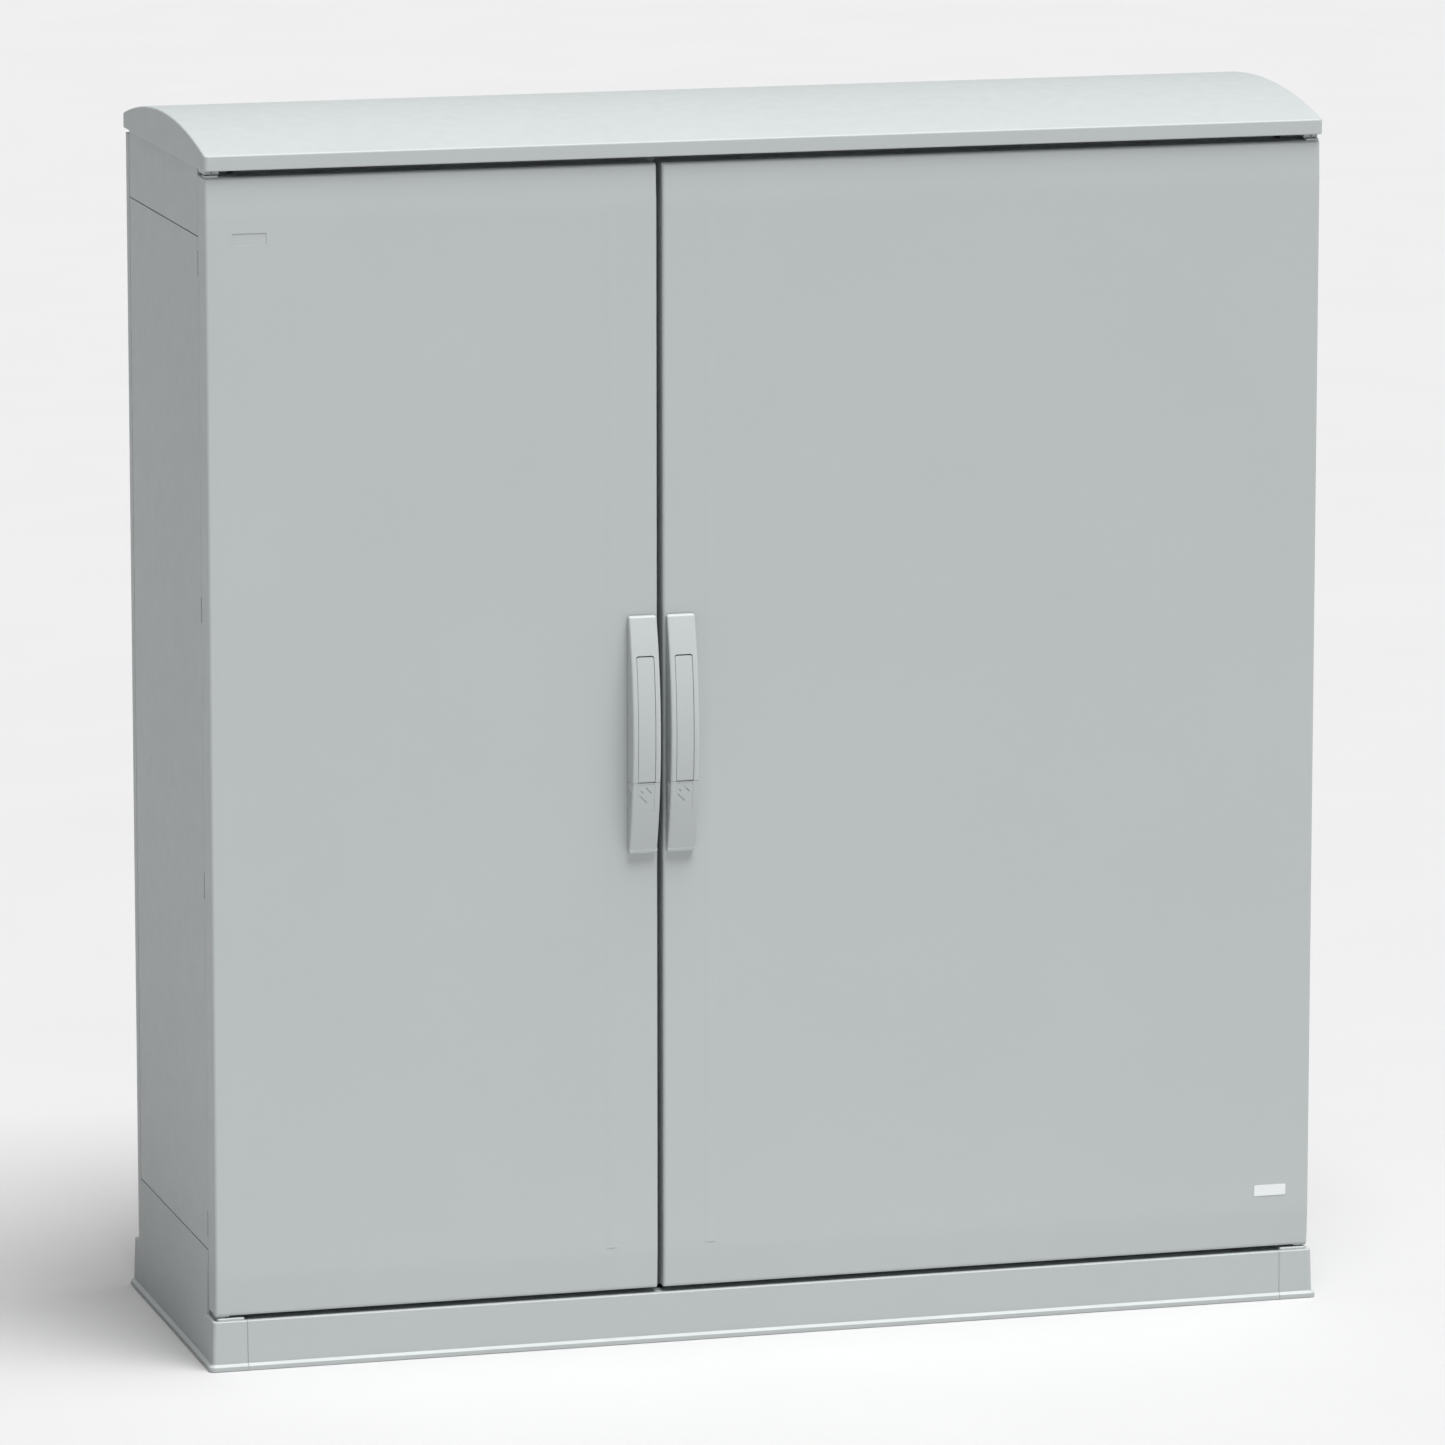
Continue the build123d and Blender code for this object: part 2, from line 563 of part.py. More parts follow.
def mounting_plate_spacers():
    """Round standoffs between the mounting plates and the rear panel."""
    spacers = []
    for x, z in plate_corners(LEFT_PLATE) + plate_corners(RIGHT_PLATE):
        spacer = rod_y(x, z, MOUNT_PLATE_Y + SHEET, BACK - WALL, SPACER_R)
        tapped = rod_y(x, z, MOUNT_PLATE_Y, MOUNT_PLATE_Y + SHEET + PLATE_SCREW_GRIP, PLATE_SCREW_R + 0.05)
        spacers.append(spacer - tapped)
    return together(spacers)


def mounting_plate_screws():
    screws = []
    for x, z in plate_corners(LEFT_PLATE) + plate_corners(RIGHT_PLATE):
        head = rod_y(x, z, MOUNT_PLATE_Y - 4, MOUNT_PLATE_Y, 5.5)
        shank = rod_y(x, z, MOUNT_PLATE_Y - 1, MOUNT_PLATE_Y + PLATE_SCREW_GRIP - 1, PLATE_SCREW_R)
        screws.append(head + shank)
    return together(screws)


def rod_keepers():
    """Hooks on the top and bottom rails: each rod tip slides behind a tongue."""
    hooks = []
    tongue_front = GEAR_FRONT - 4.0
    upper_z = UPPER_ROD_TIP + TONGUE_CLEAR
    lower_z = LOWER_ROD_TIP - TONGUE_CLEAR - TONGUE_HEIGHT
    for side in ("left", "right"):
        for rod, reach, z0 in ((-ROD_X, 2.4, upper_z), (ROD_X, 1.6, lower_z)):
            z1 = z0 + TONGUE_HEIGHT
            hook = block(rod - KEEPER_FAR, rod - KEEPER_NEAR, tongue_front, FRAME_FRONT, z0, z1)
            hook += block(rod - KEEPER_FAR, rod + reach, tongue_front, tongue_front + KEEPER_TONGUE, z0, z1)
            hooks.append(lock_place(hook, side))
    return together(hooks)


# ================================================================ door panels
def door_profile():
    """Side outline of the door in (y, z): flat face with sloping bands that blend in softly."""
    angle = atan(BAND_SETBACK / BAND_HEIGHT)
    reach = BAND_BLEND_R * tan(angle / 2)
    fold_top = DOOR_TOP - BAND_HEIGHT
    fold_low = DOOR_BOTTOM + BAND_HEIGHT
    back = FRONT + DOOR_DEPTH
    over_y, over_z = reach * sin(angle), reach * cos(angle)
    top_blend = TangentArc((FRONT, fold_top - reach), (FRONT + over_y, fold_top + over_z), tangent=(0, 1))
    low_blend = TangentArc((FRONT, fold_low + reach), (FRONT + over_y, fold_low - over_z), tangent=(0, -1))
    return make_face([
        Line((FRONT, fold_low + reach), (FRONT, fold_top - reach)),
        top_blend,
        Line((FRONT + over_y, fold_top + over_z), (FRONT + BAND_SETBACK, DOOR_TOP)),
        Line((FRONT + BAND_SETBACK, DOOR_TOP), (back, DOOR_TOP)),
        Line((back, DOOR_TOP), (back, DOOR_BOTTOM)),
        Line((back, DOOR_BOTTOM), (FRONT + BAND_SETBACK, DOOR_BOTTOM)),
        Line((FRONT + BAND_SETBACK, DOOR_BOTTOM), (FRONT + over_y, fold_low - over_z)),
        low_blend,
    ])


def door_panel(width):
    """Door moulding drawn with its hinge edge at x = 0 and its free edge at x = width."""
    body = along_x(door_profile(), 0, width)
    body = fillet(body.edges().filter_by(Axis.Y), 2)
    body = fillet([e for e in body.edges() if on_front_rim(e, width)], DOOR_EDGE_R)
    bead_x = width - BEAD_FROM_EDGE
    bead_r = ((BEAD_WIDTH / 2) ** 2 + BEAD_RISE**2) / (2 * BEAD_RISE)
    bead_z = (DOOR_BOTTOM + BAND_HEIGHT + 6, DOOR_TOP - BAND_HEIGHT - 6)
    bead = rod_z(bead_x, FRONT - BEAD_RISE + bead_r, *bead_z, bead_r)
    body += bead & block(bead_x - BEAD_WIDTH, bead_x + BEAD_WIDTH, FRONT - 2, FRONT + 1, *bead_z)
    body -= block(DOOR_FLANGE, width - DOOR_FLANGE, FRONT + DOOR_SKIN, FRONT + DOOR_DEPTH + 1,
                  DOOR_BOTTOM + DOOR_FLANGE, DOOR_TOP - DOOR_FLANGE)
    for z_edge, inward, rise in ((DOOR_BOTTOM, 1, TAB_DOWN), (DOOR_TOP, -1, TAB_UP)):
        body += upright(DOOR_FLANGE - 1, BOSS_SIZE, FRONT + DOOR_SKIN - 1, FRONT + BOSS_SIZE,
                        z_edge + inward, z_edge + inward * (BOSS_SIZE + 2))
        tab = upright(1.0, TAB_WIDTH, FRONT + 3.6, FRONT + BOSS_SIZE - 2, z_edge - inward * rise,
                      z_edge + inward)
        body += fillet(tab.edges().filter_by(Axis.Z), 1.2)
        low, high = sorted((z_edge - inward * (rise + 1), z_edge + inward * (BOSS_SIZE + 3)))
        body -= rod_z(PIN_IN, FRONT + PIN_BACK, low, high, BUSH_R)
    spindle_x = width - HANDLE_FROM_EDGE
    body -= rod_y(spindle_x, LOCK_Z, FRONT - 1, FRONT + DOOR_SKIN + 1, INSERT_R + 0.4)
    for z, _ in HANDLE_SCREWS:
        body -= rod_y(spindle_x, z, FRONT - 1, FRONT + DOOR_SKIN + 1, SCREW_HOLE_R)
    return body


def upright(x0, x1, y0, y1, z_a, z_b):
    """Block between two heights taken in either order."""
    return block(x0, x1, y0, y1, min(z_a, z_b), max(z_a, z_b))


def on_front_rim(edge, width):
    """True for the edges around the outside of the door's front face."""
    box = edge.bounding_box()
    if box.max.Y > FRONT + BAND_SETBACK + 0.3 or max(box.size.X, box.size.Z) < 0.01:
        return False
    at_side = box.max.X < 2.1 or box.min.X > width - 2.1
    at_end = box.max.Z < DOOR_BOTTOM + 2.1 or box.min.Z > DOOR_TOP - 2.1
    return at_side or at_end


def door_inner_frame(width):
    """Hat-section stiffener bonded behind the skin, inboard of the lock rods."""
    skin = FRONT + DOOR_SKIN
    hat = ring_frame(width, 0, STIFFENER_BREADTH, skin, FRONT + STIFFENER_BACK)
    hollow = ring_frame(width, 3, STIFFENER_BREADTH - 6, skin - 1, FRONT + SEAL_SLOT_FLOOR - 2)
    slot = ring_frame(width, 3.5, STIFFENER_BREADTH - 7, FRONT + SEAL_SLOT_FLOOR, FRONT + STIFFENER_BACK + 1)
    return hat - hollow - slot


def ring_frame(width, inset, breadth, y0, y1):
    """Rectangular ring following the door's stiffener."""
    x0, x1 = STIFFENER_HINGE_IN + inset, width - STIFFENER_LOCK_IN - inset
    z0, z1 = DOOR_BOTTOM + STIFFENER_END_IN + inset, DOOR_TOP - STIFFENER_END_IN - inset
    outer = block(x0, x1, y0, y1, z0, z1)
    return outer - block(x0 + breadth, x1 - breadth, y0 - 1, y1 + 1, z0 + breadth, z1 - breadth)


def door_seal(width):
    """Foam strip in the stiffener's slot, meeting the frame when the door is shut."""
    return ring_frame(width, 3.7, STIFFENER_BREADTH - 7.4, FRONT + SEAL_SLOT_FLOOR, FRAME_FRONT - 0.3)


def hinge_bushes():
    bushes = []
    x, y = PIN_IN, FRONT + PIN_BACK
    for z0, z1 in ((DOOR_BOTTOM - BUSH_STAND_OUT, DOOR_BOTTOM + BUSH_LENGTH),
                   (DOOR_TOP - BUSH_LENGTH, DOOR_TOP + 1.2)):
        bushes.append(rod_z(x, y, z0, z1, BUSH_R) - rod_z(x, y, z0 - 1, z1 + 1, PIN_R + PIN_CLEARANCE))
    return together(bushes)


# ================================================================ handle
def bow_rise(z):
    """How far the bow stands out of the door at height z."""
    return FRONT - (BOW_CENTRE_Y - sqrt(BOW_R**2 - (z - HANDLE_Z) ** 2))


def bow_outline(z0, z1, inset, y_back):
    """Outline in (y, z) from y_back out to the bow's front, drawn inset from it."""
    def front(z):
        return BOW_CENTRE_Y - sqrt((BOW_R - inset) ** 2 - (z - HANDLE_Z) ** 2)

    middle = (z0 + z1) / 2
    return make_face([
        Line((y_back, z0), (y_back, z1)),
        Line((y_back, z1), (front(z1), z1)),
        ThreePointArc((front(z1), z1), (front(middle), middle), (front(z0), z0)),
        Line((front(z0), z0), (y_back, z0)),
    ])


def lever_pivot_y():
    return FRONT - bow_rise(LEVER_PIVOT_Z) + LEVER_INSET + LEVER_KNUCKLE_R


def rounded_front(z0, z1):
    """Room in front of the door, rounded at its corners as seen from the front."""
    front = Pos(0, (z0 + z1) / 2) * RectangleRounded(HANDLE_WIDTH, z1 - z0, HANDLE_CORNER_R)
    return along_y(front, FRONT - HANDLE_RISE - 5, FRONT)


def long_bow_edges(shape):
    """The two curved edges that run the length of the bow."""
    return shape.edges().filter_by(GeomType.CIRCLE).filter_by(
        lambda e: e.length > 40 and abs(abs(e.center().X) - HANDLE_WIDTH / 2) < 0.01)


def handle_housing():
    """Fixed bow of the handle, drawn around x = 0, with the base plate that carries the lock."""
    half = HANDLE_WIDTH / 2
    bow = along_x(bow_outline(HOUSING_BOTTOM, HANDLE_TOP, 0, FRONT - GASKET), -half, half)
    end = bow.edges().filter_by(Axis.X).sort_by(lambda e: e.center().Z - e.center().Y)[-1]
    bow = fillet(end, HANDLE_END_R)
    bow = fillet(long_bow_edges(bow), HANDLE_EDGE_R)
    bow &= rounded_front(HOUSING_BOTTOM - 20, HANDLE_TOP)
    recess = along_x(bow_outline(HOUSING_BOTTOM - 1, RECESS_TOP, -2, FRONT), -RECESS_WIDTH / 2,
                     RECESS_WIDTH / 2)
    recess = fillet(recess.edges().filter_by(Axis.Y).sort_by(Axis.Z)[-2:], 2.4)
    recess -= along_x(bow_outline(HOUSING_BOTTOM - 2, RECESS_TOP + 1, RECESS_DEPTH, FRONT + 1), -half, half)
    bow -= recess
    bow -= rod_x(lever_pivot_y(), LEVER_PIVOT_Z, -half + 1.5, half - 1.5, LEVER_PIN_R)
    hollow_half = half - HANDLE_WALL
    bow -= block(-hollow_half, hollow_half, FRONT - 5.5, FRONT + 1, 660, 782)
    base_half = half - COVER_WALL - 0.5
    bow += block(-base_half, base_half, FRONT - GASKET - BASE_THICKNESS, FRONT - GASKET,
                 COVER_PIVOT_Z + BASE_CLEAR, HOUSING_BOTTOM + 3)
    bow += rod_y(0, LOCK_Z, FRONT - 12, FRONT - GASKET, COLLAR_R)
    bow -= rod_y(0, LOCK_Z, FRONT - 13, FRONT, INSERT_R + 0.06)
    bow += rod_y(0, HANDLE_SCREWS[0][0], FRONT - 5.2, FRONT - GASKET, 4.5)
    for way in (-1, 1):
        bow += cover_lug(way)
    bow -= rod_x(FRONT - COVER_PIVOT_RISE, COVER_PIVOT_Z, -half, half, COVER_PIN_R)
    for z, reach in HANDLE_SCREWS:
        bow -= rod_y(0, z, FRONT - GASKET - reach - 0.2, FRONT, 2.05)
    return bow


def cover_lug(way, grow=0.0, angle=0):
    """Lug and neck holding the cover's pin; grown and turned, it is the room they need in the cover."""
    x = way * COVER_LUG_X
    half_x = COVER_LUG_WIDTH / 2 + grow
    half_z = 1.6 + grow
    pivot_y = FRONT - COVER_PIVOT_RISE
    back = FRONT - GASKET if grow == 0 else FRONT + 5
    lug = block(x - half_x, x + half_x, pivot_y, back, COVER_PIVOT_Z - half_z, COVER_PIVOT_Z + half_z)
    lug += rod_x(pivot_y, COVER_PIVOT_Z, x - half_x, x + half_x, half_z)
    lug += block(x - half_x, x + half_x, FRONT - GASKET - 1.2 - grow, back, COVER_PIVOT_Z - half_z,
                 COVER_PIVOT_Z + BASE_CLEAR + 0.5 + grow)
    to_pivot = Pos(0, pivot_y, COVER_PIVOT_Z)
    return to_pivot * Rot(-angle, 0, 0) * to_pivot.inverse() * lug


def lock_cover(slant):
    """Flap over the lock: hollow bow with a round lower knuckle, grip ribs and a shallow panel.

    The grip grooves lean the way given by slant, 1 or -1.
    """
    half = HANDLE_WIDTH / 2
    pivot_y = FRONT - COVER_PIVOT_RISE
    back = FRONT - COVER_BACK
    shell = along_x(bow_outline(COVER_PIVOT_Z, COVER_TOP, 0, back), -half, half)
    shell += rod_x(pivot_y, COVER_PIVOT_Z, -half, half, COVER_KNUCKLE_R)
    shell = fillet(long_bow_edges(shell), HANDLE_EDGE_R)
    shell &= rounded_front(COVER_PIVOT_Z - COVER_KNUCKLE_R, COVER_TOP + 20)
    inner_half = half - COVER_WALL
    cavity_low = COVER_PIVOT_Z + COVER_KNUCKLE_R + 0.3
    shell -= along_x(bow_outline(cavity_low, COVER_TOP + 1, COVER_WALL, FRONT + 1), -inner_half, inner_half)
    for way in (-1, 1):
        for angle in range(0, COVER_SWING + 2, 13):
            shell -= cover_lug(way, 0.35, angle)
    shell -= rod_x(pivot_y, COVER_PIVOT_Z, -half + 1.5, half - 1.5, COVER_PIN_R + 0.05)
    # shallow panel just below the split line, with short slanting grip grooves in it
    low, high = COVER_PANEL_LOW, COVER_TOP - 1
    panel = along_x(bow_outline(low, high, -2, FRONT), -COVER_PANEL_HALF, COVER_PANEL_HALF)
    below_panel = along_x(bow_outline(low - 1, high + 1, COVER_PANEL_DEPTH, FRONT + 1), -half, half)
    below_groove = along_x(bow_outline(low - 1, high + 1, GROOVE_DEPTH, FRONT + 1), -half, half)
    shell -= panel - below_panel
    for x, z, length in GRIP_GROOVES:
        groove = Rot(0, slant * 45, 0) * Box(length, HANDLE_RISE * 2, GROOVE_WIDTH)
        shell -= Pos(slant * x, FRONT - HANDLE_RISE, z) * groove - below_groove
    for way in (-1, 1):
        for i in range(GRIP_RIB_COUNT):
            z = GRIP_RIB_LOW + i * GRIP_RIB_PITCH
            rib = Pos(way * half, FRONT - bow_rise(z) + 7.5, z) * Rot(40, 0, 0) * Box(1.4, 8, 1.6)
            shell += rib & block(-half - 1, half + 1, FRONT - bow_rise(z) + 3.2, FRONT - 1, z - 9, z + 9)
    return shell


def handle_lever():
    """Flush pull-out grip that swings out about its lower end."""
    half = LEVER_WIDTH / 2
    grip = along_x(bow_outline(LEVER_PIVOT_Z, LEVER_TOP, LEVER_INSET, 0), -half, half)
    grip -= along_x(bow_outline(LEVER_PIVOT_Z - 1, LEVER_TOP + 1, LEVER_INSET + LEVER_THICKNESS, 10),
                    -half - 1, half + 1)
    grip = fillet(grip.edges().filter_by(Axis.Y).sort_by(Axis.Z)[-2:], 2)
    pivot_y = lever_pivot_y()
    grip += rod_x(pivot_y, LEVER_PIVOT_Z, -half, half, LEVER_KNUCKLE_R)
    return grip - rod_x(pivot_y, LEVER_PIVOT_Z, -half - 1, half + 1, LEVER_PIN_R + 0.05)


def handle_pins():
    half = HANDLE_WIDTH / 2
    lever_pin = rod_x(lever_pivot_y(), LEVER_PIVOT_Z, -half + 1.8, half - 1.8, LEVER_PIN_R)
    cover_pin = rod_x(FRONT - COVER_PIVOT_RISE, COVER_PIVOT_Z, -half + 1.8, half - 1.8, COVER_PIN_R)
    return together([lever_pin, cover_pin])


def handle_gasket():
    half = HANDLE_WIDTH / 2 - 3
    sheet = block(-half, half, FRONT - GASKET, FRONT, 560, HANDLE_TOP - 1.5)
    sheet -= rod_y(0, LOCK_Z, FRONT - 2, FRONT + 1, INSERT_R + 0.4)
    sheet -= block(-half + 2.5, half - 2.5, FRONT - 2, FRONT + 1, 662, 780)
    for z, _ in HANDLE_SCREWS:
        sheet -= rod_y(0, z, FRONT - 2, FRONT + 1, SCREW_HOLE_R)
    return sheet


def handle_screws():
    screws = []
    for z, reach in HANDLE_SCREWS:
        head = rod_y(0, z, FRONT + DOOR_SKIN, FRONT + DOOR_SKIN + 3, 4.5)
        screws.append(head + rod_y(0, z, FRONT - GASKET - reach, FRONT + DOOR_SKIN + 1, 2.0))
    return together(screws)


# ================================================================ lock
def lock_insert():
    """Turning insert with a double-bit key recess and the square spindle behind it."""
    face = FRONT - INSERT_FACE
    barrel = rod_y(0, LOCK_Z, face, FRONT + 6, INSERT_R)
    barrel -= rod_y(0, LOCK_Z, face - 1, face + 8, 6)
    barrel += rod_y(0, LOCK_Z, face + 1, face + 9, 2.4)
    barrel += Pos(0, face + 5, LOCK_Z) * Box(9, 8, 1.8)
    spindle = block(-SPINDLE_SQUARE / 2, SPINDLE_SQUARE / 2, FRONT + 5, GEAR_FRONT + GEAR_WIDTH + 3,
                    LOCK_Z - SPINDLE_SQUARE / 2, LOCK_Z + SPINDLE_SQUARE / 2)
    return barrel + spindle


def involute_flank(base_r, tip_r, steps):
    """Points (radius, turned angle) along an involute from the base circle to the tip."""
    points = []
    for i in range(steps + 1):
        r = base_r + (tip_r - base_r) * i / steps
        roll = sqrt(max((r / base_r) ** 2 - 1, 0))
        points.append((r, roll - atan(roll)))
    return points


def lock_pinion():
    """Spur pinion on the spindle, with a tooth gap facing each rack."""
    base_r = PITCH_R * cos(radians(PRESSURE_ANGLE))
    tip_r = PITCH_R + GEAR_MODULE
    root_r = PITCH_R - 1.25 * GEAR_MODULE
    pressure = radians(PRESSURE_ANGLE)
    half_tooth = pi / (2 * GEAR_TEETH) - BACKLASH / (2 * PITCH_R) + tan(pressure) - pressure
    flank = involute_flank(base_r, tip_r, 6)
    points = []
    for tooth in range(GEAR_TEETH):
        middle = (tooth + 0.5) * 2 * pi / GEAR_TEETH
        rising = [(root_r, middle - half_tooth)] + [(r, middle - half_tooth + a) for r, a in flank]
        falling = [(r, 2 * middle - a) for r, a in reversed(rising)]
        points += [(r * cos(a), LOCK_Z + r * sin(a)) for r, a in rising + falling]
    gear = along_y(outline(*points), GEAR_FRONT, GEAR_FRONT + GEAR_WIDTH)
    room = SPINDLE_SQUARE + 0.05
    return gear - Pos(0, GEAR_FRONT, LOCK_Z) * Box(room, 40, room)


def lock_rod(way, z_tip):
    """Flat rod with a rack at the lock; way -1 is the upper rod and +1 the lower one."""
    up = -way
    root = way * ROD_ROOT
    back = way * (ROD_ROOT + ROD_THICKNESS)
    rack_start = LOCK_Z - up * 22.0
    rod = block(min(root, back), max(root, back), GEAR_FRONT, GEAR_FRONT + GEAR_WIDTH,
                min(rack_start, z_tip), max(rack_start, z_tip))
    pitch = pi * GEAR_MODULE
    slope = tan(radians(PRESSURE_ANGLE))
    tip_x = way * (PITCH_R - GEAR_MODULE)
    half_pitch = pitch / 4 - BACKLASH / 2
    half_tip = half_pitch - GEAR_MODULE * slope
    half_root = half_pitch + 1.25 * GEAR_MODULE * slope
    for i in range(-5, 3):
        z = LOCK_Z + up * i * pitch
        tooth = outline((root + way * 0.5, z - half_root), (root, z - half_root), (tip_x, z - half_tip),
                        (tip_x, z + half_tip), (root, z + half_root), (root + way * 0.5, z + half_root))
        rod += along_y(tooth, GEAR_FRONT, GEAR_FRONT + GEAR_WIDTH)
    return rod


def gear_case():
    """Die-cast box around the pinion, open towards the door and slotted for both rods."""
    x0, x1 = -ROD_ROOT - ROD_THICKNESS - 3.2, ROD_ROOT + ROD_THICKNESS + 1.9
    y0, y1 = FRONT + DOOR_SKIN, GEAR_FRONT + GEAR_WIDTH + 2.5
    case = block(x0, x1, y0, y1, LOCK_Z - 24, LOCK_Z + 24)
    case = fillet(case.edges().filter_by(Axis.Y), 1.2)
    clear = 0.3
    case -= rod_y(0, LOCK_Z, y0 - 1, GEAR_FRONT + GEAR_WIDTH + clear, INSERT_R + 0.4)
    case -= rod_y(0, LOCK_Z, y0, y1 + 1, 5.2)
    for way in (-1, 1):
        inner = way * (PITCH_R - GEAR_MODULE - clear)
        outer = way * (ROD_ROOT + ROD_THICKNESS + clear)
        case -= block(min(inner, outer), max(inner, outer), GEAR_FRONT - clear,
                      GEAR_FRONT + GEAR_WIDTH + clear, LOCK_Z - 25, LOCK_Z + 25)
    return case


def rod_guides():
    """Four saddles that hold the two rods against the door skin."""
    guides = []
    for way, outer, heights in ((-1, 4.6, GUIDE_HEIGHTS[0]), (1, 3.2, GUIDE_HEIGHTS[1])):
        x = way * ROD_X
        for z in heights:
            guide = block(min(x - way * 6, x + way * outer), max(x - way * 6, x + way * outer),
                          FRONT + DOOR_SKIN, GEAR_FRONT + GEAR_WIDTH + 3, z - 5, z + 5)
            guide -= block(x - ROD_THICKNESS / 2 - 0.2, x + ROD_THICKNESS / 2 + 0.2, GEAR_FRONT - 0.2,
                           GEAR_FRONT + GEAR_WIDTH + 0.2, z - 6, z + 6)
            guides.append(guide)
    return together(guides)


# ================================================================ placing and writing
LEFT_SPINDLE_X = -HALF + LEFT_DOOR_WIDTH - HANDLE_FROM_EDGE
RIGHT_SPINDLE_X = HALF - RIGHT_DOOR_WIDTH + HANDLE_FROM_EDGE


def door_place(shape, side):
    """Moves a piece drawn from the hinge edge onto its door."""
    if side == "left":
        return Pos(-HALF, 0, 0) * shape
    return Pos(HALF, 0, 0) * mirrored(shape)


def lock_place(shape, side):
    """Moves a piece drawn around the spindle onto its door."""
    if side == "left":
        return Pos(LEFT_SPINDLE_X, 0, 0) * shape
    return Pos(RIGHT_SPINDLE_X, 0, 0) * mirrored(shape)


def write_doors():
    lock_pieces = {
        "handle_housing": handle_housing(),
        "handle_gasket": handle_gasket(),
        "handle_screws": handle_screws(),
        "handle_pins": handle_pins(),
        "handle_lever": handle_lever(),
        "lock_insert": lock_insert(),
        "lock_pinion": lock_pinion(),
        "gear_case": gear_case(),
        "rod_guides": rod_guides(),
        "upper_rod": lock_rod(-1, UPPER_ROD_TIP),
        "lower_rod": lock_rod(1, LOWER_ROD_TIP),
    }
    for side, width in (("left", LEFT_DOOR_WIDTH), ("right", RIGHT_DOOR_WIDTH)):
        panel = door_place(door_panel(width), side)
        if side == "left":
            panel -= block(*LABEL_RECESS_X, FRONT - 1, FRONT + LABEL_RECESS_DEPTH, *LABEL_RECESS_Z)
        write(side + "_door_panel", panel)
        write(side + "_door_inner_frame", door_place(door_inner_frame(width), side))
        write(side + "_door_seal", door_place(door_seal(width), side))
        write(side + "_hinge_bushes", door_place(hinge_bushes(), side))
        for name, shape in lock_pieces.items():
            write(side + "_" + name, lock_place(shape, side))
        write(side + "_lock_cover", lock_place(lock_cover(1 if side == "left" else -1), side))
    plate = block(*RATING_PLATE_X, FRONT - RATING_PLATE_THICKNESS, FRONT, *RATING_PLATE_Z)
    write("rating_plate", fillet(plate.edges().filter_by(Axis.Y), 1))


def write_pair(name, shape):
    """Left piece and its mirror image."""
    write("left_" + name, shape)
    write("right_" + name, mirrored(shape))


def write_cabinet():
    ring = plinth_ring()
    write_pair("plinth_side", plinth_side(ring))
    write("plinth_front_panel", plinth_front(ring))
    write("plinth_rear_panel", plinth_rear(ring))
    write_pair("side_panel", side_panel())
    write_pair("upper_side_frame", upper_side_frame())
    write("rear_panel", rear_panel())
    write("corner_posts", corner_posts())
    write("top_front_rail", front_rail(TOP_RAIL_BOTTOM, LEDGE_TOP))
    write("bottom_front_rail", front_rail(PLINTH_TOP, BOTTOM_RAIL_TOP))
    write("centre_mullion", centre_mullion())
    write("canopy", canopy())
    write("roof_panel", roof_panel())
    write("roof_screws", roof_screws())
    write("hinge_brackets", hinge_brackets())
    write("hinge_pins", hinge_pins())
    write("floor_plate", floor_plate())
    write("cable_entry_membranes", cable_entry_membranes())
    write("left_mounting_plate", mounting_plate(LEFT_PLATE))
    write("right_mounting_plate", mounting_plate(RIGHT_PLATE))
    write("mounting_plate_spacers", mounting_plate_spacers())
    write("mounting_plate_screws", mounting_plate_screws())
    write("rod_keepers", rod_keepers())


os.makedirs("parts", exist_ok=True)
write_cabinet()
write_doors()
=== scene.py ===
import json
from math import cos, radians, sin

import bpy
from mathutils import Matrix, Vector


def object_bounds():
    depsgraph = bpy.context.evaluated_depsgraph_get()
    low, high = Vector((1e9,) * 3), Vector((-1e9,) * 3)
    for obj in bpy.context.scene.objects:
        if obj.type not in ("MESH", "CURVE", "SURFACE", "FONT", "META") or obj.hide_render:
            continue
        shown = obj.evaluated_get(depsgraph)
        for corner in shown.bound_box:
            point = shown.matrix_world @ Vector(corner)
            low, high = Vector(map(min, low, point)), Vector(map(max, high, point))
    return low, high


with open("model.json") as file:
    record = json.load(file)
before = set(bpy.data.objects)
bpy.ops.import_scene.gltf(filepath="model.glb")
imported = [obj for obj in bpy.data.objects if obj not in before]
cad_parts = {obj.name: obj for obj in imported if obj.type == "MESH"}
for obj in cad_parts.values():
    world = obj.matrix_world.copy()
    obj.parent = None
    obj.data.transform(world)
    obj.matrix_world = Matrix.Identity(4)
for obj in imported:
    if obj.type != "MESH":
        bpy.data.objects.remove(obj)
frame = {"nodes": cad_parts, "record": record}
cad_low, cad_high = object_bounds()
nodes = frame["nodes"]

# ---------------------------------------------------------------- driving values
# Lengths are metres, angles degrees, and texture scales are features per metre.
GREY = (0.492, 0.522, 0.524)  # pigment shared by the plastic outer pieces
LABEL_WHITE = (0.82, 0.85, 0.86)
RUBBER_DARK = (0.018, 0.018, 0.02)
RUBBER_LIGHT = (0.035, 0.035, 0.037)
SPANGLE_DARK = (0.50, 0.52, 0.54)
SPANGLE_LIGHT = (0.66, 0.68, 0.70)
FLOOR_DARK = (0.565, 0.565, 0.565)
FLOOR_LIGHT = (0.575, 0.575, 0.575)

CLOUD_SCALE = 5.0
SPECK_SCALE = 900.0
# Reach of the painted shade in gaps and corners.
GAP_SHADE_REACH = 0.006
SHEEN_SCALE = 60.0
WAVE_SCALE = 14.0
WAVE_DEPTH = 0.0004
STRAND_SCALE = 260.0
STRAND_STRETCH = (1, 1, 0.02)  # strands run along Z
DRAWN_STRETCH = (1, 1, 0.05)
SPANGLE_SCALE = 110.0
PORE_SCALE = 1800.0

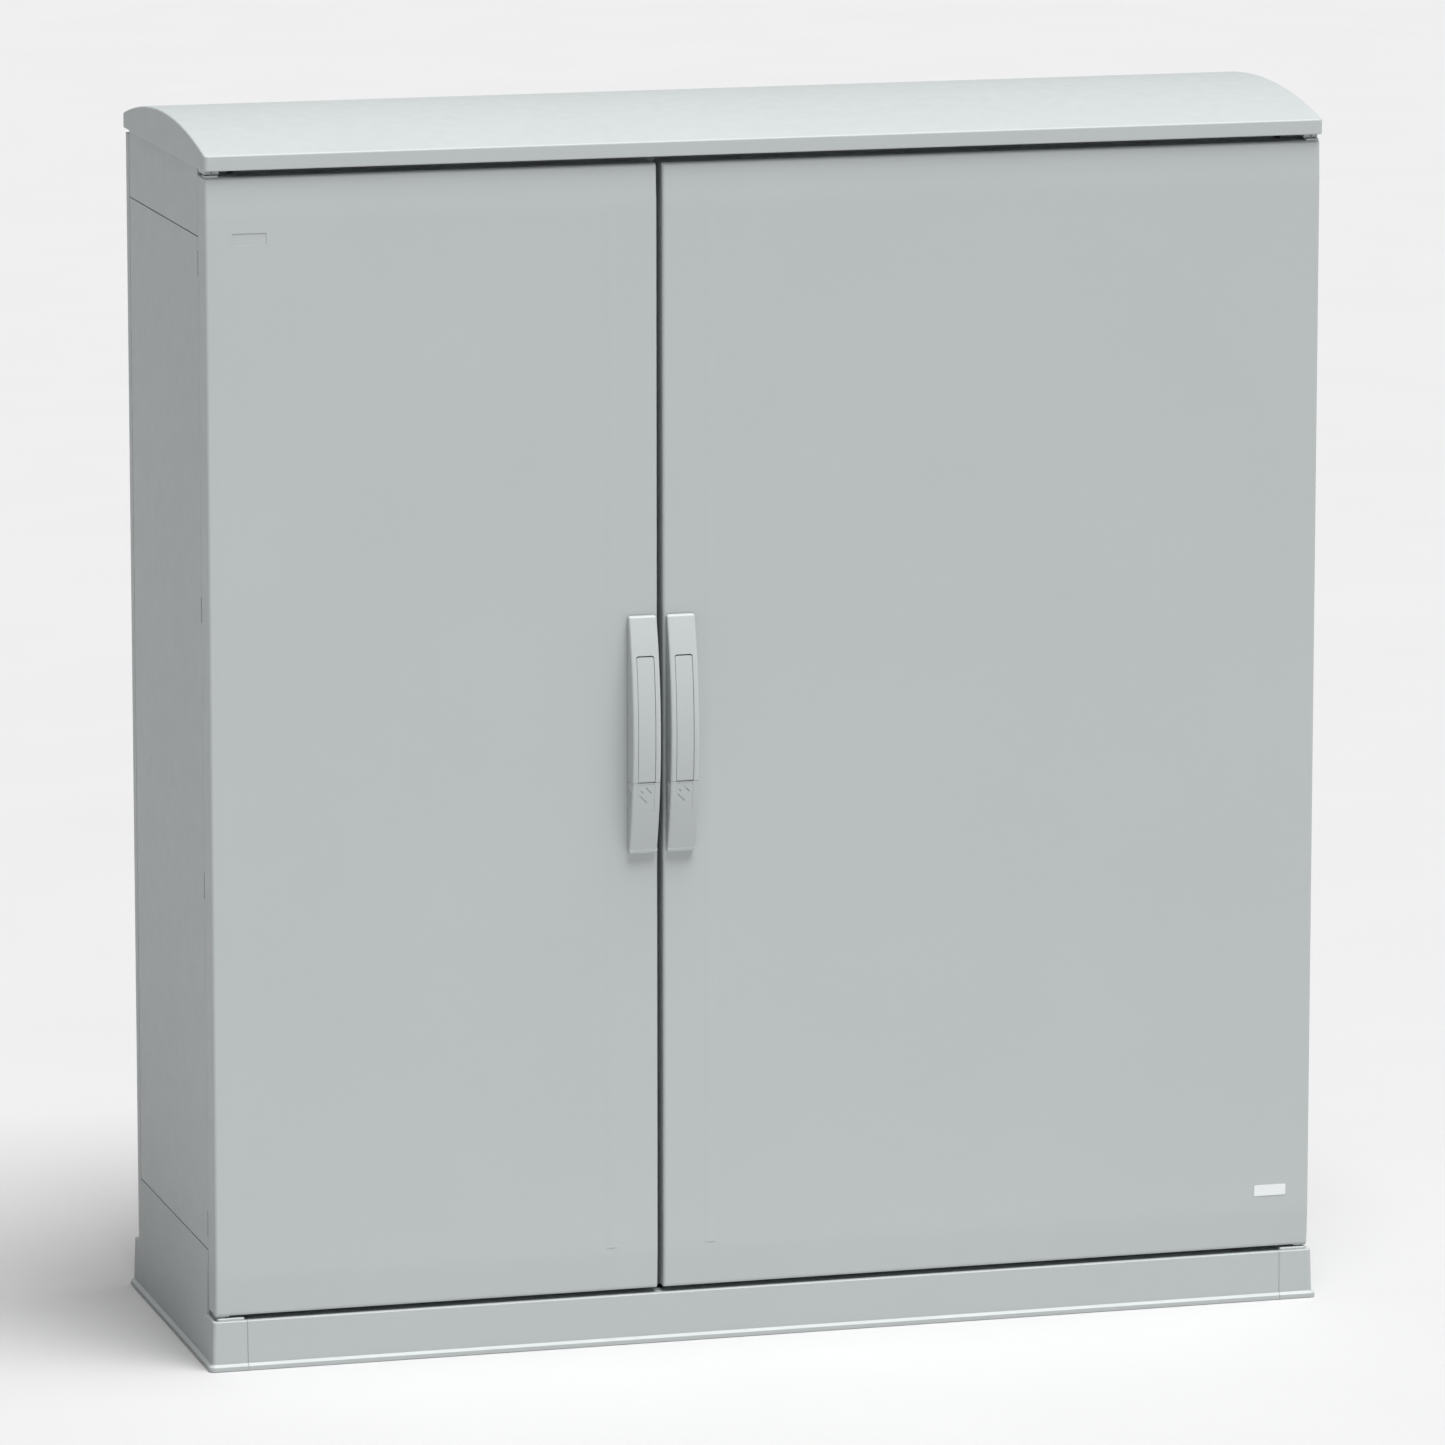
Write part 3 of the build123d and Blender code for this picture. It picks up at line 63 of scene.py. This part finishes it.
FLOOR_REACH = 60.0
FLOOR_DROP = 0.0005  # keeps the floor off the underside of the foot
FLOOR_CLOUD_SCALE = 3.0
LAMP_DISTANCE = 5.0

LENS_MM = 230.17
SENSOR_MM = 36.0
CAMERA_AZIMUTH = -15.566
CAMERA_ELEVATION = 10.475
CAMERA_DISTANCE = 10.2511
AIM_OFFSET = Vector((-0.0021, -0.0041, -0.0243))  # from the middle of the cabinet
CLIP_END = 200.0


# ---------------------------------------------------------------- node-tree helpers
class Tree:
    """Small wrapper that adds and links shader nodes."""

    def __init__(self, name):
        self.material = bpy.data.materials.new(name)
        self.material.use_nodes = True
        self.tree = self.material.node_tree
        self.tree.nodes.clear()
        self.output = self.add("ShaderNodeOutputMaterial")
        self.shader = self.add("ShaderNodeBsdfPrincipled")
        self.link(self.shader.outputs["BSDF"], self.output.inputs["Surface"])
        self.coords = self.add("ShaderNodeTexCoord").outputs["Object"]

    def add(self, kind, **settings):
        node = self.tree.nodes.new(kind)
        for key, value in settings.items():
            setattr(node, key, value)
        return node

    def link(self, source, target):
        self.tree.links.new(source, target)

    def noise(self, scale, detail=2.0, stretch=(1, 1, 1), rough=0.5):
        """Noise in the object's own metres; scale is features per metre."""
        mapping = self.add("ShaderNodeMapping")
        mapping.inputs["Scale"].default_value = stretch
        self.link(self.coords, mapping.inputs["Vector"])
        node = self.add("ShaderNodeTexNoise")
        node.inputs["Scale"].default_value = scale
        node.inputs["Detail"].default_value = detail
        node.inputs["Roughness"].default_value = rough
        self.link(mapping.outputs["Vector"], node.inputs["Vector"])
        return node.outputs["Fac"]

    def cells(self, scale):
        node = self.add("ShaderNodeTexVoronoi")
        node.inputs["Scale"].default_value = scale
        self.link(self.coords, node.inputs["Vector"])
        return node.outputs["Color"]

    def spread(self, value, low, high, from_low=0.3, from_high=0.7):
        """Maps a 0 to 1 texture onto a small range."""
        node = self.add("ShaderNodeMapRange")
        node.inputs["From Min"].default_value = from_low
        node.inputs["From Max"].default_value = from_high
        node.inputs["To Min"].default_value = low
        node.inputs["To Max"].default_value = high
        self.link(value, node.inputs["Value"])
        return node.outputs["Result"]

    def tint(self, factor, dark, light):
        """Colour between two tones."""
        node = self.add("ShaderNodeMix", data_type="RGBA")
        node.inputs["A"].default_value = (*dark, 1)
        node.inputs["B"].default_value = (*light, 1)
        self.link(factor, node.inputs["Factor"])
        return node.outputs["Result"]

    def mix_in(self, base, factor, colour):
        node = self.add("ShaderNodeMix", data_type="RGBA")
        node.inputs["B"].default_value = (*colour, 1)
        self.link(factor, node.inputs["Factor"])
        self.link(base, node.inputs["A"])
        return node.outputs["Result"]

    def bump(self, height, strength, distance, under=None):
        node = self.add("ShaderNodeBump")
        node.inputs["Strength"].default_value = strength
        node.inputs["Distance"].default_value = distance
        self.link(height, node.inputs["Height"])
        if under is not None:
            self.link(under, node.inputs["Normal"])
        return node.outputs["Normal"]

    def soft_edges(self, radius):
        node = self.add("ShaderNodeBevel", samples=4)
        node.inputs["Radius"].default_value = radius
        return node.outputs["Normal"]

    def crevices(self, reach):
        """1 in tight corners and gaps, 0 in the open."""
        node = self.add("ShaderNodeAmbientOcclusion", samples=8)
        node.inputs["Distance"].default_value = reach
        return self.spread(node.outputs["AO"], 1.0, 0.0, 0.35, 0.95)


def shade(colour, factor):
    return tuple(channel * factor for channel in colour)


# ---------------------------------------------------------------- materials
def moulded_plastic(name, colour, grain, depth, roughness, edge=0.0004, gap_shade=0.16):
    """Pigmented moulding: soft cloudiness, fine grain, and painted shade that darkens the gaps and
    corners.
    """
    t = Tree(name)
    cloud = t.spread(t.noise(CLOUD_SCALE, 3.0), 0.0, 1.0)
    body = t.tint(cloud, shade(colour, 0.990), shade(colour, 1.006))
    speck = t.spread(t.noise(SPECK_SCALE, 1.0), 0.0, 0.35, 0.58, 0.75)
    body = t.mix_in(body, speck, shade(colour, 0.90))
    # Painted shade: an ambient-occlusion mask, scaled by the shade strength, darkens the colour in
    # gaps and tight corners.
    gap_shade_mask = t.add("ShaderNodeMath", operation="MULTIPLY")
    gap_shade_mask.inputs[1].default_value = gap_shade
    t.link(t.crevices(GAP_SHADE_REACH), gap_shade_mask.inputs[0])
    body = t.mix_in(body, gap_shade_mask.outputs["Value"], shade(colour, 0.55))
    t.link(body, t.shader.inputs["Base Color"])
    sheen = t.spread(t.noise(SHEEN_SCALE, 3.0), roughness - 0.05, roughness + 0.05)
    t.link(sheen, t.shader.inputs["Roughness"])
    normal = t.soft_edges(edge)
    normal = t.bump(t.noise(WAVE_SCALE, 1.0), 0.2, WAVE_DEPTH, normal)
    normal = t.bump(t.noise(grain, 2.0), 0.35, depth, normal)
    t.link(normal, t.shader.inputs["Normal"])
    t.shader.inputs["Specular IOR Level"].default_value = 0.42
    return t.material


def pultruded(name, colour):
    """Drawn glass-fibre profile: faint strands along its length."""
    t = Tree(name)
    strands = t.noise(STRAND_SCALE, 3.0, STRAND_STRETCH)
    body = t.tint(t.spread(strands, 0.0, 1.0), shade(colour, 0.93), shade(colour, 1.02))
    t.link(body, t.shader.inputs["Base Color"])
    t.shader.inputs["Roughness"].default_value = 0.42
    t.link(t.bump(strands, 0.3, 0.0002, t.soft_edges(0.0006)), t.shader.inputs["Normal"])
    return t.material


def metal(name, colour, roughness, stretch=(1, 1, 1), scale=500.0, depth=0.00004):
    """Bare or plated metal with drawn lines or a fine cast skin."""
    t = Tree(name)
    lines = t.noise(scale, 4.0, stretch)
    blotch = t.noise(35.0, 3.0)
    body = t.tint(t.spread(blotch, 0.0, 1.0), shade(colour, 0.88), shade(colour, 1.04))
    t.link(body, t.shader.inputs["Base Color"])
    t.link(t.spread(lines, roughness - 0.08, roughness + 0.1), t.shader.inputs["Roughness"])
    t.shader.inputs["Metallic"].default_value = 1.0
    t.link(t.bump(lines, 0.4, depth, t.soft_edges(0.0003)), t.shader.inputs["Normal"])
    return t.material


def galvanised(name):
    """Hot-dip spangle: crystal patches that differ a little in tone and gloss."""
    t = Tree(name)
    patches = t.cells(SPANGLE_SCALE)
    split = t.add("ShaderNodeSeparateColor")
    t.link(patches, split.inputs["Color"])
    patch = split.outputs["Red"]
    t.link(t.tint(patch, SPANGLE_DARK, SPANGLE_LIGHT), t.shader.inputs["Base Color"])
    t.link(t.spread(patch, 0.34, 0.5, 0.0, 1.0), t.shader.inputs["Roughness"])
    t.shader.inputs["Metallic"].default_value = 0.9
    t.link(t.bump(t.noise(400.0, 3.0), 0.3, 0.00005), t.shader.inputs["Normal"])
    return t.material


def foam_rubber(name):
    """Near-black foam or rubber with a fine open skin."""
    t = Tree(name)
    pores = t.noise(PORE_SCALE, 2.0)
    body = t.tint(t.spread(t.noise(40.0, 2.0), 0.0, 1.0), RUBBER_DARK, RUBBER_LIGHT)
    t.link(body, t.shader.inputs["Base Color"])
    t.link(t.spread(pores, 0.72, 0.92), t.shader.inputs["Roughness"])
    t.link(t.bump(pores, 0.5, 0.0002), t.shader.inputs["Normal"])
    return t.material


# In each moulding the gap-shade strength sets its painted shade in gaps and corners.
MATERIALS = {
    "grp_shell": moulded_plastic("grp_shell", GREY, 700.0, 0.00009, 0.50),
    "grp_door": moulded_plastic("grp_door", GREY, 700.0, 0.00009, 0.48),
    "grp_plinth": moulded_plastic("grp_plinth", shade(GREY, 0.955), 650.0, 0.0001, 0.52),
    "handle_plastic": moulded_plastic("handle_plastic", shade(GREY, 1.01), 1100.0, 0.00006, 0.46,
                                      edge=0.00025, gap_shade=0.10),
    "frame_profile": pultruded("frame_profile", shade(GREY, 0.92)),
    "plate_plastic": moulded_plastic("plate_plastic", LABEL_WHITE, 1500.0, 0.00003, 0.35,
                                     edge=0.0002, gap_shade=0.05),
    "zinc_steel": metal("zinc_steel", (0.62, 0.63, 0.64), 0.34),
    # Painted shade: the hinge steel's base tone is kept dark so the pins read as shaded inside the
    # hinge gaps.
    "hinge_steel": metal("hinge_steel", (0.36, 0.36, 0.35), 0.34, DRAWN_STRETCH),
    "coated_steel": moulded_plastic("coated_steel", shade(GREY, 0.97), 1300.0, 0.00008, 0.42),
    "zinc_casting": metal("zinc_casting", (0.50, 0.51, 0.52), 0.45, scale=900.0, depth=0.0001),
    "lock_steel": metal("lock_steel", (0.48, 0.48, 0.49), 0.32, scale=700.0),
    "mounting_steel": galvanised("mounting_steel"),
    "rubber": foam_rubber("rubber"),
}
for entry in frame["record"]["subparts"]:
    mesh = nodes[entry["node"]].data
    mesh.materials.clear()
    mesh.materials.append(MATERIALS[entry["material_slot"]])


# ---------------------------------------------------------------- floor, light and camera
def floor_material():
    t = Tree("studio_floor")
    body = t.tint(t.spread(t.noise(FLOOR_CLOUD_SCALE, 2.0), 0.0, 1.0), FLOOR_DARK, FLOOR_LIGHT)
    t.link(body, t.shader.inputs["Base Color"])
    t.shader.inputs["Roughness"].default_value = 0.9
    t.shader.inputs["Specular IOR Level"].default_value = 0.1
    return t.material


def studio_floor():
    mesh = bpy.data.meshes.new("studio_floor")
    turns = ((-1, -1), (1, -1), (1, 1), (-1, 1))
    corners = [(x * FLOOR_REACH, y * FLOOR_REACH, 0) for x, y in turns]
    mesh.from_pydata(corners, [], [(0, 1, 2, 3)])
    mesh.materials.append(floor_material())
    floor = bpy.data.objects.new("studio_floor", mesh)
    floor.location.z = -FLOOR_DROP
    bpy.context.scene.collection.objects.link(floor)


def direction(azimuth, elevation):
    """Unit vector at an azimuth from the front (-Y) towards +X, and an elevation above the floor."""
    a = radians(azimuth)
    e = radians(elevation)
    return Vector((sin(a) * cos(e), -cos(a) * cos(e), sin(e)))


def look_back(item, away):
    """Turns a lamp or a camera to face against the direction it was moved in."""
    item.rotation_euler = (-away).to_track_quat("-Z", "Y").to_euler()


def soft_sun(name, azimuth, elevation, spread, strength):
    """Very large, far softbox: the same light on the whole floor, with wide soft shadows."""
    data = bpy.data.lights.new(name, "SUN")
    data.angle = radians(spread)
    data.energy = strength
    lamp = bpy.data.objects.new(name, data)
    away = direction(azimuth, elevation)
    lamp.location = away * LAMP_DISTANCE
    look_back(lamp, away)
    bpy.context.scene.collection.objects.link(lamp)


def surroundings(strength):
    world = bpy.data.worlds.new("studio")
    world.use_nodes = True
    background = world.node_tree.nodes["Background"]
    background.inputs["Color"].default_value = (1.0, 1.0, 1.0, 1)
    background.inputs["Strength"].default_value = strength
    bpy.context.scene.world = world


def camera():
    """Long lens from the front left, looking slightly down on the roof."""
    data = bpy.data.cameras.new("camera")
    data.lens = LENS_MM
    data.sensor_width = SENSOR_MM
    data.clip_end = CLIP_END
    view = bpy.data.objects.new("camera", data)
    target = (cad_low + cad_high) / 2 + AIM_OFFSET
    away = direction(CAMERA_AZIMUTH, CAMERA_ELEVATION)
    view.location = target + away * CAMERA_DISTANCE
    look_back(view, away)
    bpy.context.scene.collection.objects.link(view)
    bpy.context.scene.camera = view


studio_floor()
soft_sun("overhead", 28, 73.5, 40, 4.70)
soft_sun("front_fill", -3, 10, 24, 0.28)
surroundings(0.10)
camera()
bpy.context.scene.view_settings.view_transform = "Standard"
